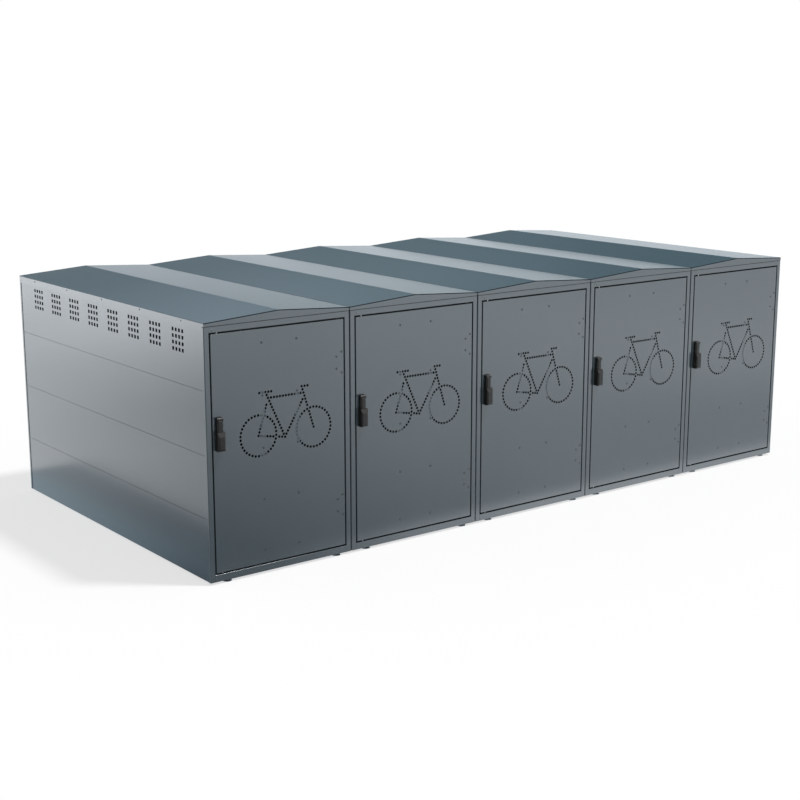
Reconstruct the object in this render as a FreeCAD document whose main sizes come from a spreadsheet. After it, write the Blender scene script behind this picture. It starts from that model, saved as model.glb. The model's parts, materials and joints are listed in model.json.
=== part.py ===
"""A bank of bicycle lockers: folded steel bays side by side, one side-hung door to each bay.

The bays stand along X, the doors face -Y and Z is up. The origin is on the floor, in the middle of
the bank's footprint. Inside a bay, positions are measured from its lower left front corner: x from
the left side of the frame, y back from the front face and z up from the underside of the walls.
"""

import FreeCAD, Part

import math
import os

import Sketcher
from FreeCAD import Placement, Rotation, Vector

doc = FreeCAD.newDocument("bicycle_lockers")
sheet = doc.addObject("Spreadsheet::Sheet", "Sizes")

DRIVING_SIZES = [
    ("bay_count", 5, "bays side by side"),
    ("bay_pitch", 820, "one bay to the next"),
    ("bay_seam", 5, "open line between two bays"),
    ("depth", 2080, "front face to rear face"),
    ("frame_height", 1230, "top of the front frame and the rear panel"),
    ("eave_height", 1250, "top of the roof at its eaves"),
    ("ridge_rise", 26, "ridge above the eaves"),
    ("foot_height", 12, "walls above the floor"),
    ("frame_sheet", 2, "sheet of the front frame"),
    ("panel_sheet", 1.5, "sheet of walls, floor and roof"),
    ("door_sheet", 1.5, "sheet of the door"),
    ("bend_radius", 4, "outside radius of the frame's corners"),
    ("edge_radius", 1.2, "outside radius of the small folds"),
    ("seat_gap", 0.3, "play where one piece sits on another"),
    ("running_gap", 0.05, "radial play of a pin in its hole"),
    ("post_width", 27, "front of a post"),
    ("frame_depth", 40, "front frame, front to back"),
    ("corner_return", 15, "post's return along the wall"),
    ("header_height", 27.5, "front of the header"),
    ("sill_height", 34.5, "front of the sill"),
    ("stop_set_back", 24, "front face to the door stop"),
    ("stop_width", 15, "door stop's lip"),
    ("seal_width", 12, "rubber seal on the stop"),
    ("door_gap", 8, "gap round the door"),
    ("door_depth", 20, "door pan, front to back"),
    ("door_lip", 10, "lip behind the pan's edges"),
    ("stiffener_width", 25, "web of a stiffener"),
    ("stiffener_offset", 98, "stiffener's middle from the door's middle"),
    ("stiffener_end_gap", 3, "stiffener short of the pan's ends"),
    ("hinge_spread", 726, "upper hinge above lower hinge"),
    ("hinge_inset", 9, "hinge axis from the door's edge"),
    ("hinge_set_back", 10, "hinge axis behind the front face"),
    ("hinge_leaf_height", 120, "leaf on the door"),
    ("hinge_leaf_width", 45, "leaf on the door, from its outer edge"),
    ("hinge_leaf_sheet", 2, "leaf on the door"),
    ("hinge_window", 70, "opening in the door's edge at a hinge"),
    ("knuckle_radius", 5, "hinge knuckle"),
    ("knuckle_reach", 30, "outer end of the door's knuckles from the middle"),
    ("knuckle_half", 11.5, "half the frame's knuckle"),
    ("knuckle_play", 0.5, "between knuckles, along the pin"),
    ("hinge_pin_radius", 2.5, "hinge pin"),
    ("pin_head", 1.6, "head of the hinge pin"),
    ("bracket_height", 80, "leaf on the post"),
    ("bracket_sheet", 2.5, "leaf on the post"),
    ("bracket_set_back", 26, "front edge of the leaf on the post"),
    ("arm_set_back", 28, "arm round the door's edge"),
    ("arm_sheet", 4, "arm round the door's edge"),
    ("arm_outer", 2, "arm past the axis, towards the post"),
    ("arm_inner", 3.5, "arm past the axis, towards the door"),
    ("handle_inset", 30.5, "handle's middle from the door's edge"),
    ("handle_bottom", 642, "lower end of the handle"),
    ("housing_height", 91, "lock housing at the handle's lower end"),
    ("housing_width", 40, "lock housing"),
    ("handle_reach", 35, "lock housing in front of the door"),
    ("housing_radius", 10.5, "rounded edges of the housing"),
    ("housing_shoulder", 22, "housing's top above the foot of its slope"),
    ("housing_step", 3, "housing's top edge in front of the lever"),
    ("handle_plate", 3, "plate behind the lever"),
    ("lever_width", 32, "lever"),
    ("lever_reach", 22, "lever in front of the door"),
    ("lever_back", 6.5, "back of the lever in front of the door"),
    ("lever_height", 69, "lever, lower end to its shoulder's top"),
    ("lever_shoulder", 18, "lever's top above the foot of its slope"),
    ("lever_chamfer", 7, "slope along the lever's front edges"),
    ("lever_axis_drop", 9, "lever's axis under its top"),
    ("lever_axis_reach", 12.5, "lever's axis in front of the door"),
    ("lever_pin_radius", 2.5, "lever's pin"),
    ("lug_width", 7.6, "lug that carries the lever"),
    ("lug_radius", 7.5, "rounded end of the lug"),
    ("slot_play", 0.5, "lug's play in the lever"),
    ("lock_height", 688, "lock's axis above the walls' underside"),
    ("barrel_radius", 9, "lock barrel"),
    ("barrel_inner_end", 4, "back of the barrel behind the front face"),
    ("barrel_recess", 0.6, "barrel's face inside the housing's face"),
    ("key_slot_width", 2.2, "keyway"),
    ("key_slot_height", 10, "keyway"),
    ("key_slot_depth", 4, "keyway"),
    ("tail_radius", 4, "barrel's tail"),
    ("drive_offset", 11.3, "drive pin from the lock's axis, along x and z"),
    ("drive_pin_radius", 2.5, "drive pin on the cam"),
    ("drive_play", 0.7, "drive pin's play in its slot"),
    ("drive_disc_radius", 20, "cam's disc"),
    ("drive_disc_front", 16.5, "cam's disc behind the front face"),
    ("drive_disc_sheet", 3, "cam's disc"),
    ("cam_hub_radius", 8, "cam's hub"),
    ("tongue_front", 26.5, "cam's tongue behind the front face"),
    ("tongue_sheet", 3.5, "cam's tongue"),
    ("tongue_width", 14, "cam's tongue"),
    ("tongue_reach", 46, "cam's tongue from the axis"),
    ("rod_radius", 4, "locking rod"),
    ("rod_offset", 9, "rods' line beside the lock's axis"),
    ("link_drop", 30, "lower rod's sideways link under the lock's axis"),
    ("link_height", 10, "lower rod's link"),
    ("rod_set_back", 12, "rod's axis behind the front face"),
    ("rod_plate", 4, "rod's slotted end"),
    ("rod_plate_wall", 3, "round the rod's slot"),
    ("rod_tip_gap", 1.5, "drawn rod short of the frame"),
    ("rod_hole_play", 0.4, "rod in the door's edge"),
    ("keeper_play", 2, "thrown rod in the frame"),
    ("dot_radius", 6.5, "pictogram's holes"),
    ("dot_bridge", 1.2, "least metal between two holes"),
    ("wheel_radius", 100, "pictogram's wheels"),
    ("wheel_dots", 34, "holes round a wheel"),
    ("wheel_base", 315, "rear hub to front hub"),
    ("rear_hub_inset", 247.5, "rear hub from the door's edge"),
    ("rear_hub_height", 680, "rear hub above the walls' underside"),
    ("crank_ahead", 149.5, "crank from the rear hub"),
    ("crank_drop", 26.5, "crank under the hubs"),
    ("tube_height", 177.5, "top tube above the hubs"),
    ("seat_ahead", 57, "top tube's rear end from the rear hub"),
    ("head_ahead", 259, "top tube's front end from the rear hub"),
    ("joint_ahead", 261.5, "down tube's upper end from the rear hub"),
    ("joint_height", 159.5, "down tube's upper end above the hubs"),
    ("bar_ahead", 249, "handlebar from the rear hub"),
    ("bar_height", 210, "handlebar above the hubs"),
    ("bar_length", 34, "handlebar"),
    ("saddle_ahead", 9, "saddle's rear end from the rear hub"),
    ("saddle_height", 207.5, "saddle above the hubs"),
    ("saddle_length", 67, "saddle"),
    ("plank_count", 4, "planks in a wall"),
    ("plank_pitch", 310, "plank to plank"),
    ("plank_gap", 1.5, "open line between planks"),
    ("wall_inset", 2, "end wall behind the corner's face"),
    ("wall_thickness", 23, "folded depth of a plank"),
    ("end_wall_top", 1246, "top of the end walls"),
    ("vent_size", 17.7, "square vent hole"),
    ("vent_pitch", 31, "vent hole to vent hole"),
    ("vent_rows", 4, "vent holes each way in a group"),
    ("vent_groups", 8, "groups along a wall"),
    ("vent_group_pitch", 226, "group to group"),
    ("vent_height", 1140.2, "middle of a group"),
    ("rear_return", 14, "rear panel's side return"),
    ("fascia_lap", 3, "open line between frame and fascia"),
    ("flange_drop", 38, "roof's flange on the outer eaves"),
    ("valley_drop", 12, "roof's flange beside the next bay, which stands on the partition"),
    ("eave_radius", 3, "fold of the outer eave"),
    ("roof_rivet_count", 5, "rivets along an outer eave"),
    ("roof_rivet_pitch", 415, "rivet to rivet"),
    ("roof_rivet_drop", 13.5, "rivets under the eave"),
    ("rivet_head_radius", 4.5, "rivet's head"),
    ("rivet_head_height", 2, "rivet's head"),
    ("rivet_shank_radius", 2.4, "rivet's shank"),
    ("rivet_grip", 5, "rivet's shank behind its head"),
    ("floor_height", 25.5, "top of the floor tray"),
    ("floor_side_gap", 26, "floor tray from the bay's side"),
    ("rail_depth", 40, "rear rail, front to back"),
    ("rail_height", 24, "rear rail"),
    ("foot_radius", 22, "foot's disc"),
    ("foot_rim", 3, "foot's disc at its edge"),
    ("foot_neck_radius", 9, "foot's nut"),
    ("foot_stud_radius", 5, "foot's stud"),
    ("foot_stud_top", 16, "top of the foot's stud"),
    ("foot_inset_left", 104, "foot from the bay's left side"),
    ("foot_inset_right", 76, "foot from the bay's right side"),
    ("foot_set_back", 24, "foot's stud behind the front face"),
    ("foot_set_forward", 36, "rear foot's stud in front of the rear face"),
    ("guide_size", 25, "leg of a wheel guide"),
    ("guide_sheet", 2, "wheel guide"),
    ("guide_spacing", 56, "between the two guides"),
    ("guide_start", 150, "front end of the guides"),
    ("guide_length", 1750, "wheel guides"),
    ("anchor_radius", 7, "anchor hole in the floor"),
    ("anchor_spacing_x", 560, "anchor hole to anchor hole"),
    ("anchor_spacing_y", 1700, "anchor hole to anchor hole"),
]

for row, (alias, value, note) in enumerate(DRIVING_SIZES, start=1):
    sheet.set(f"A{row}", alias)
    sheet.set(f"B{row}", str(value))
    sheet.setAlias(f"B{row}", alias)
    sheet.set(f"C{row}", note)
doc.recompute()


class Size:
    """A length that knows both its formula over the sheet's cells and its value."""

    def __init__(self, text, number):
        self.text = text
        self.number = number

    def __add__(self, other):
        other = as_size(other)
        return Size(f"({self.text} + {other.text})", self.number + other.number)

    def __sub__(self, other):
        other = as_size(other)
        return Size(f"({self.text} - {other.text})", self.number - other.number)

    def __mul__(self, factor):
        factor = as_size(factor)
        return Size(f"({self.text} * {factor.text})", self.number * factor.number)

    def __truediv__(self, factor):
        factor = as_size(factor)
        return Size(f"({self.text} / {factor.text})", self.number / factor.number)

    def __neg__(self):
        return Size(f"(0 - {self.text})", -self.number)

    __radd__ = __add__

    def __rsub__(self, other):
        return as_size(other) - self


def as_size(value):
    """The value itself if it is a Size, and otherwise a plain number as one."""
    return value if isinstance(value, Size) else Size(repr(float(value)), float(value))


def cell(alias):
    """The sheet's cell of that name."""
    return Size(f"Sizes.{alias}", float(sheet.get(alias)))


def whole(alias):
    """A cell that counts something."""
    return int(round(float(sheet.get(alias))))


NODES = []


def node(name, piece):
    """Names a finished sub-part: its label is its file's name."""
    piece.Label = name
    NODES.append(piece)
    return piece


def bind(piece, prop, size):
    """Ties a property to its formula."""
    piece.setExpression(prop, as_size(size).text)


def block(name, x, y, z):
    """A box between two sizes along each axis."""
    box = doc.addObject("Part::Box", name)
    for prop, base, (low, high) in (
        ("Length", "x", x),
        ("Width", "y", y),
        ("Height", "z", z),
    ):
        bind(box, prop, as_size(high) - low)
        bind(box, f"Placement.Base.{base}", low)
    return box


TURN_TO_AXIS = {
    "x": Rotation(Vector(0, 1, 0), 90),
    "y": Rotation(Vector(1, 0, 0), -90),
    "z": Rotation(),
}


def bar(name, axis, centre, span, radius):
    """A round bar along an axis, centred on two sizes, between two others."""
    low, high = span
    round_bar = doc.addObject("Part::Cylinder", name)
    round_bar.Placement = Placement(Vector(), TURN_TO_AXIS[axis])
    bind(round_bar, "Radius", radius)
    bind(round_bar, "Height", as_size(high) - low)
    sides = [side for side in "xyz" if side != axis]
    for side, position in zip(sides, centre):
        bind(round_bar, f"Placement.Base.{side}", position)
    bind(round_bar, f"Placement.Base.{axis}", low)
    return round_bar


def joined(name, pieces):
    """Several shapes as one solid."""
    fuse = doc.addObject("Part::MultiFuse", name)
    fuse.Shapes = pieces
    fuse.Refine = True
    return fuse


def group(name, pieces):
    """Several solids kept apart in one object."""
    compound = doc.addObject("Part::Compound", name)
    compound.Links = pieces
    return compound


def cut(name, base, tools):
    """A shape with tools taken out of it."""
    result = doc.addObject("Part::Cut", name)
    result.Base = base
    result.Tool = tools[0] if len(tools) == 1 else group(f"{name}_tools", tools)
    return result


def origin_plane(body, plane):
    """One of a body's own origin planes, such as XY."""
    role = f"{plane}_Plane"
    return next(feature for feature in body.Origin.OriginFeatures if feature.Role == role)


def outline_sketch(body, name, plane, outline, height=0):
    """A closed outline whose every corner is held by two sizes, on a plane of the body.

    The height is measured along the axis that the plane lacks.
    """
    sketch = body.newObject("Sketcher::SketchObject", name)
    sketch.AttachmentSupport = [(origin_plane(body, plane), "")]
    sketch.MapMode = "FlatFace"
    height = as_size(height)
    bind(sketch, "AttachmentOffset.Base.z", -height if plane == "XZ" else height)
    corners = [(as_size(across), as_size(up)) for across, up in outline]
    spots = [Vector(across.number, up.number, 0) for across, up in corners]
    following = spots[1:] + spots[:1]
    sketch.addGeometry([Part.LineSegment(a, b) for a, b in zip(spots, following)], False)
    for index, corner in enumerate(corners):
        sketch.addConstraint(
            Sketcher.Constraint("Coincident", index, 2, (index + 1) % len(corners), 1))
        for kind, size in zip(("DistanceX", "DistanceY"), corner):
            number = sketch.addConstraint(
                Sketcher.Constraint(kind, -1, 1, index, 1, size.number))
            label = f"{kind}_{index}"
            sketch.renameConstraint(number, label)
            bind(sketch, f"Constraints.{label}", size)
    return sketch


def pad(body, plane, outline, low, high):
    """Adds an outline drawn out between two heights to a body."""
    number = len(body.Group)
    sketch = outline_sketch(body, f"{body.Name}_outline_{number}", plane, outline, low)
    feature = body.newObject("PartDesign::Pad", f"{body.Name}_pad_{number}")
    feature.Profile = sketch
    feature.Reversed = plane == "XZ"
    bind(feature, "Length", as_size(high) - low)
    return feature


def body_with_pad(name, plane, outline, low, high):
    """A body made of one drawn-out outline."""
    body = doc.addObject("PartDesign::Body", name)
    pad(body, plane, outline, low, high)
    return body


def turned(name, outline):
    """A body turned about its Z axis from a half outline of radii and heights."""
    body = doc.addObject("PartDesign::Body", name)
    sketch = outline_sketch(body, f"{name}_outline", "XZ", outline)
    feature = body.newObject("PartDesign::Revolution", f"{name}_turn")
    feature.Profile = sketch
    feature.ReferenceAxis = (sketch, ["V_Axis"])
    feature.Angle = 360
    return body


def eased(body, kind, prop, size, chosen):
    """Dresses the edges of the body's last feature that the test picks."""
    doc.recompute()
    base = body.Tip
    names = [
        f"Edge{number}"
        for number, edge in enumerate(base.Shape.Edges, start=1)
        if chosen(edge)
    ]
    feature = body.newObject(kind, f"{body.Name}_eased_{len(body.Group)}")
    feature.Base = (base, names)
    bind(feature, prop, size)


def rounded(body, radius, chosen):
    eased(body, "PartDesign::Fillet", "Radius", radius, chosen)


def chamfered(body, size, chosen):
    eased(body, "PartDesign::Chamfer", "Size", size, chosen)


def runs_through(edge, **wanted):
    """Whether an edge is straight and lies at the given coordinates all along."""
    if not isinstance(edge.Curve, Part.Line):
        return False
    ends = [vertex.Point for vertex in edge.Vertexes]
    return all(
        abs(getattr(end, axis) - as_size(size).number) < 1e-4
        for axis, size in wanted.items()
        for end in ends
    )


def rectangle(x, y):
    """The outline of a rectangle between two sizes each way."""
    return [(x[0], y[0]), (x[1], y[0]), (x[1], y[1]), (x[0], y[1])]


def around(centre, half):
    """The span of that half width about a middle."""
    return as_size(centre) - half, as_size(centre) + half


FRONT = -(cell("depth") - cell("handle_reach")) / 2
BAYS = range(whole("bay_count"))
LAST_BAY = whole("bay_count") - 1


def bay_left(bay):
    """The left side of a bay's frame."""
    return cell("bay_pitch") * (bay - cell("bay_count") / 2) + cell("bay_seam") / 2


def place(piece, bay, x=0, y=0, z=0):
    """Moves a piece from a bay's own measures to its place in the bank."""
    bind(piece, "Placement.Base.x", bay_left(bay) + x)
    bind(piece, "Placement.Base.y", FRONT + y)
    bind(piece, "Placement.Base.z", cell("foot_height") + z)
    return piece


# Levels and lines that several sub-parts share, in a bay's own measures

BAY_WIDTH = cell("bay_pitch") - cell("bay_seam")
POST = cell("post_width")
RIGHT_POST = BAY_WIDTH - POST
SHEET = cell("frame_sheet")
PANEL = cell("panel_sheet")
SKIN = cell("door_sheet")
STOP = cell("stop_set_back")
HEADER_BOTTOM = cell("frame_height") - cell("header_height")
SILL_TOP = cell("sill_height")
STOP_BOTTOM = SILL_TOP + cell("stop_width")
STOP_TOP = HEADER_BOTTOM - cell("stop_width")

DOOR_LEFT = POST + cell("door_gap")
DOOR_RIGHT = RIGHT_POST - cell("door_gap")
DOOR_BOTTOM = SILL_TOP + cell("door_gap")
DOOR_TOP = HEADER_BOTTOM - cell("door_gap")
DOOR_MIDDLE_X = (DOOR_LEFT + DOOR_RIGHT) / 2
DOOR_MIDDLE_Z = (DOOR_BOTTOM + DOOR_TOP) / 2
PAN_BACK = cell("door_depth")

HINGE_X = DOOR_RIGHT - cell("hinge_inset")
HINGE_Y = cell("hinge_set_back")
HINGE_HEIGHTS = [
    DOOR_MIDDLE_Z - cell("hinge_spread") / 2,
    DOOR_MIDDLE_Z + cell("hinge_spread") / 2,
]
PIN_HOLE = cell("hinge_pin_radius") + cell("running_gap")

LOCK_X = DOOR_LEFT + cell("handle_inset")
LOCK_Z = cell("lock_height")
ROD_X = LOCK_X + cell("rod_offset")
ROD_Y = cell("rod_set_back")
KEEPER_RADIUS = cell("rod_radius") + cell("keeper_play")

WALL_FRONT = cell("corner_return") + cell("seat_gap")
REAR_PANEL_FRONT = cell("depth") - cell("rear_return")
WALL_REAR = REAR_PANEL_FRONT - cell("seat_gap")
FOOT_X = [cell("foot_inset_left"), BAY_WIDTH - cell("foot_inset_right")]
REAR_FOOT_Y = cell("depth") - cell("foot_set_forward")
STUD_HOLE = cell("foot_stud_radius") + cell("seat_gap")


# Front frame

def post_outline(side):
    """Plan of a post: its return along the wall, its front and its return into the bay.

    The side maps a distance from the outer face to x, so one outline makes both posts.
    """
    outer, inner = side(0), side(POST)
    return [
        (outer, 0),
        (inner, 0),
        (inner, cell("frame_depth")),
        (side(POST - SHEET), cell("frame_depth")),
        (side(POST - SHEET), SHEET),
        (side(SHEET), SHEET),
        (side(SHEET), cell("corner_return")),
        (outer, cell("corner_return")),
    ]


def make_post(name, side, has_stop):
    """A post, with the door's stop on the lock side and a slot for the cam's tongue."""
    body = body_with_pad(name, "XY", post_outline(side), 0, cell("frame_height"))
    if has_stop:
        stop = rectangle((POST, POST + cell("stop_width")), (STOP, STOP + SHEET))
        pad(body, "XY", stop, STOP_BOTTOM + cell("seat_gap"), STOP_TOP - cell("seat_gap"))
    rounded(body, cell("bend_radius"), lambda edge: runs_through(edge, x=side(0), y=0))
    rounded(body, cell("edge_radius"), lambda edge: runs_through(edge, x=side(POST), y=0))
    if not has_stop:
        return body
    half = cell("tongue_width") / 2 + cell("keeper_play")
    slot = block(
        f"{name}_slot",
        (POST - SHEET * 2, POST),
        (STOP + SHEET, cell("tongue_front") + cell("tongue_sheet") + cell("keeper_play") / 2),
        (LOCK_Z - half, LOCK_Z + half + cell("tongue_reach") / 2),
    )
    return cut(f"{name}_slotted", body, [slot])


def make_front_posts():
    posts = []
    for bay in BAYS:
        left = make_post(f"left_post_{bay + 1}", as_size, True)
        right = make_post(f"right_post_{bay + 1}", lambda inset: BAY_WIDTH - inset, False)
        posts += [place(left, bay), place(right, bay)]
    node("front_posts", group("front_posts", posts))


def make_front_headers():
    """The header over each door, whose lip hangs down behind the door as its stop."""
    outline = [
        (0, HEADER_BOTTOM),
        (STOP, HEADER_BOTTOM),
        (STOP, STOP_TOP),
        (STOP + SHEET, STOP_TOP),
        (STOP + SHEET, HEADER_BOTTOM + SHEET),
        (SHEET, HEADER_BOTTOM + SHEET),
        (SHEET, cell("frame_height")),
        (0, cell("frame_height")),
    ]
    headers = []
    for bay in BAYS:
        name = f"header_{bay + 1}"
        body = body_with_pad(name, "YZ", outline, POST, RIGHT_POST)
        rounded(body, cell("edge_radius"), lambda edge: runs_through(edge, y=0, z=HEADER_BOTTOM))
        keeper = bar(f"{name}_keeper", "z", (ROD_X, ROD_Y),
                     (HEADER_BOTTOM - SHEET, HEADER_BOTTOM + SHEET * 2), KEEPER_RADIUS)
        headers.append(place(cut(f"{name}_bored", body, [keeper]), bay))
    node("front_headers", group("front_headers", headers))


def make_front_sills():
    """The sill under each door: front, top with the stop's lip, and a foot return."""
    outline = [
        (0, 0),
        (cell("frame_depth"), 0),
        (cell("frame_depth"), SHEET),
        (SHEET, SHEET),
        (SHEET, SILL_TOP - SHEET),
        (STOP + SHEET, SILL_TOP - SHEET),
        (STOP + SHEET, STOP_BOTTOM),
        (STOP, STOP_BOTTOM),
        (STOP, SILL_TOP),
        (0, SILL_TOP),
    ]
    sills = []
    for bay in BAYS:
        name = f"sill_{bay + 1}"
        body = body_with_pad(name, "YZ", outline, POST, RIGHT_POST)
        rounded(body, cell("edge_radius"), lambda edge: runs_through(edge, y=0, z=SILL_TOP))
        holes = [bar(f"{name}_keeper", "z", (ROD_X, ROD_Y),
                     (SILL_TOP - SHEET * 2, SILL_TOP + SHEET), KEEPER_RADIUS)]
        for index, x in enumerate(FOOT_X):
            holes.append(bar(f"{name}_stud_hole_{index}", "z", (x, cell("foot_set_back")),
                             (-SHEET, SHEET * 2), STUD_HOLE))
        sills.append(place(cut(f"{name}_bored", body, holes), bay))
    node("front_sills", group("front_sills", sills))


def make_door_seals():
    """Rubber strips on the stop's lips, on the lock side, over and under the door."""
    thickness = (PAN_BACK + cell("seat_gap"), STOP)
    width = cell("seal_width")
    middle = cell("stop_width") / 2
    left_x = around(POST + middle, width / 2)
    cross_x = (POST + cell("stop_width"), HINGE_X - cell("hinge_inset") - HINGE_Y)
    upper_z = around(HEADER_BOTTOM - middle, width / 2)
    lower_z = around(SILL_TOP + middle, width / 2)
    seals = []
    for bay in BAYS:
        seals += [
            place_block(f"left_seal_{bay + 1}", bay, left_x, thickness, (STOP_BOTTOM, STOP_TOP)),
            place_block(f"upper_seal_{bay + 1}", bay, cross_x, thickness, upper_z),
            place_block(f"lower_seal_{bay + 1}", bay, cross_x, thickness, lower_z),
        ]
    node("door_seals", group("door_seals", seals))


def place_block(name, bay, x, y, z):
    """A box given in a bay's own measures."""
    box = block(name, x, y, z)
    return place(box, bay, x[0], y[0], z[0])


# Walls, floor and roof

def make_tray(name, x, y, z, open_side):
    """A sheet folded up along its four edges, open on the side named by its axis and sign."""
    inner = {axis: (as_size(low) + PANEL, as_size(high) - PANEL)
             for axis, (low, high) in zip("xyz", (x, y, z))}
    axis, sign = open_side
    low, high = inner[axis]
    inner[axis] = (low, high + PANEL * 2) if sign == "+" else (low - PANEL * 2, high)
    hollow = block(f"{name}_hollow", inner["x"], inner["y"], inner["z"])
    return cut(name, block(f"{name}_outside", x, y, z), [hollow])


def plank_span(index, top):
    """Lower and upper edge of a wall's plank."""
    half_gap = cell("plank_gap") / 2
    low = cell("plank_pitch") * index + (half_gap if index else 0)
    last = index == whole("plank_count") - 1
    return low, as_size(top) if last else cell("plank_pitch") * (index + 1) - half_gap


def make_wall(name, x, top, open_side):
    """The planks of one wall, from the lowest to the top one, in a bay's own measures."""
    return [
        make_tray(f"{name}_plank_{index + 1}", x, (WALL_FRONT, WALL_REAR),
                  plank_span(index, top), open_side)
        for index in range(whole("plank_count"))
    ]


def vent_tools(name, x):
    """All vent holes of an end wall as one tool, through the skin that x spans."""
    tool = doc.addObject("Part::Feature", name)
    low, high = (as_size(side).number for side in x)
    size = cell("vent_size").number
    pitch = cell("vent_pitch").number
    rows = whole("vent_rows")
    groups = whole("vent_groups")
    middle_y = cell("depth").number / 2
    holes = []
    for cluster in range(groups):
        cluster_y = middle_y + (cluster - (groups - 1) / 2) * cell("vent_group_pitch").number
        for column in range(rows):
            y = cluster_y + (column - (rows - 1) / 2) * pitch - size / 2
            for row in range(rows):
                z = cell("vent_height").number + (row - (rows - 1) / 2) * pitch - size / 2
                holes.append(Part.makeBox(high - low, size, size, Vector(low, y, z)))
    tool.Shape = Part.makeCompound(holes)
    return tool


def rivet_places():
    """Distances along the wall of the rivets under an outer eave."""
    count = whole("roof_rivet_count")
    first = cell("depth") / 2 - cell("roof_rivet_pitch") * ((count - 1) / 2)
    return [first + cell("roof_rivet_pitch") * index for index in range(count)]


def rivet_holes(name, x):
    """Holes for the rivets under an outer eave."""
    height = cell("eave_height") - cell("roof_rivet_drop")
    radius = cell("rivet_shank_radius") + cell("running_gap")
    return [
        bar(f"{name}_rivet_hole_{index}", "x", (y, height), x, radius)
        for index, y in enumerate(rivet_places())
    ]


def make_end_walls():
    depth = cell("wall_thickness")
    inset = cell("wall_inset")
    planks = []
    for name, bay, x, open_side, skin in (
        ("left_wall", 0, (inset, inset + depth), "x+", (inset - PANEL, inset + PANEL * 2)),
        ("right_wall", LAST_BAY, (BAY_WIDTH - inset - depth, BAY_WIDTH - inset), "x-",
         (BAY_WIDTH - inset - PANEL * 2, BAY_WIDTH - inset + PANEL)),
    ):
        wall = make_wall(name, x, cell("end_wall_top"), open_side)
        holes = [vent_tools(f"{name}_vents", skin)] + rivet_holes(name, skin)
        wall[-1] = cut(f"{name}_vented_plank", wall[-1], holes)
        planks += [place(plank, bay) for plank in wall]
    node("end_walls", group("end_walls", planks))


def make_partition_walls():
    """A wall of planks on each line between two bays, which carries both roofs."""
    middle = -cell("bay_seam") / 2
    x = around(middle, (cell("wall_thickness") + 1) / 2)
    planks = []
    for bay in BAYS[1:]:
        wall = make_wall(f"partition_{bay}", x, cell("eave_height") - cell("valley_drop"), "x+")
        planks += [place(plank, bay) for plank in wall]
    node("partition_walls", group("partition_walls", planks))


def make_rear_panels():
    panels = [
        place(make_tray(f"rear_panel_{bay + 1}", (0, BAY_WIDTH),
                        (REAR_PANEL_FRONT, cell("depth")), (0, cell("frame_height")), "y-"), bay)
        for bay in BAYS
    ]
    node("rear_panels", group("rear_panels", panels))


RAIL_FRONT = WALL_REAR - cell("rail_depth")
FLOOR_SIDES = (cell("floor_side_gap"), BAY_WIDTH - cell("floor_side_gap"))


def make_rear_rails():
    """A channel across the back of each bay, which takes the rear feet."""
    rails = []
    for bay in BAYS:
        name = f"rear_rail_{bay + 1}"
        x, y, z = FLOOR_SIDES, (RAIL_FRONT, WALL_REAR), (0, cell("rail_height"))
        hollow = block(f"{name}_hollow", (x[0] - SHEET, x[1] + SHEET),
                       (y[0] + SHEET, y[1] - SHEET), (SHEET, z[1] + SHEET))
        holes = [bar(f"{name}_stud_hole_{index}", "z", (foot_x, REAR_FOOT_Y),
                     (-SHEET, SHEET * 2), STUD_HOLE)
                 for index, foot_x in enumerate(FOOT_X)]
        rails.append(place(cut(name, block(f"{name}_outside", x, y, z), [hollow] + holes), bay))
    node("rear_rails", group("rear_rails", rails))


FLOOR_FRONT = cell("frame_depth") + cell("seat_gap")
FLOOR_REAR = RAIL_FRONT - cell("seat_gap")


def make_floor_trays():
    """A floor folded down along its edges, with four holes for ground anchors."""
    middle_y = cell("depth") / 2
    floors = []
    for bay in BAYS:
        name = f"floor_tray_{bay + 1}"
        tray = make_tray(f"{name}_folded", FLOOR_SIDES, (FLOOR_FRONT, FLOOR_REAR),
                         (0, cell("floor_height")), "z-")
        holes = []
        for index, (left_right, front_back) in enumerate(((-1, -1), (1, -1), (1, 1), (-1, 1))):
            x = BAY_WIDTH / 2 + cell("anchor_spacing_x") / 2 * left_right
            y = middle_y + cell("anchor_spacing_y") / 2 * front_back
            holes.append(bar(f"{name}_anchor_hole_{index}", "z", (x, y),
                             (cell("floor_height") - PANEL * 2, cell("floor_height") + PANEL),
                             cell("anchor_radius")))
        floors.append(place(cut(name, tray, holes), bay))
    node("floor_trays", group("floor_trays", floors))


def make_wheel_guides():
    """Two angle rails that keep the wheels in the middle of each bay."""
    leg, sheet_size = cell("guide_size"), cell("guide_sheet")
    low = cell("floor_height")
    middle = BAY_WIDTH / 2
    half = cell("guide_spacing") / 2
    start, end = cell("guide_start"), cell("guide_start") + cell("guide_length")
    guides = []
    for bay in BAYS:
        for name, side in (("left", -1), ("right", 1)):
            upright = middle + half * side
            outline = [
                (upright, low),
                (upright + leg * side, low),
                (upright + leg * side, low + sheet_size),
                (upright + sheet_size * side, low + sheet_size),
                (upright + sheet_size * side, low + leg),
                (upright, low + leg),
            ]
            body = body_with_pad(f"{name}_wheel_guide_{bay + 1}", "XZ", outline, start, end)
            guides.append(place(body, bay))
    node("wheel_guides", group("wheel_guides", guides))


def gable(sag=0):
    """The roof's slopes from the left eave over the ridge, lowered by the sag."""
    eave = cell("eave_height") - sag
    return [(0, eave), (BAY_WIDTH / 2, eave + cell("ridge_rise")), (BAY_WIDTH, eave)]


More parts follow.
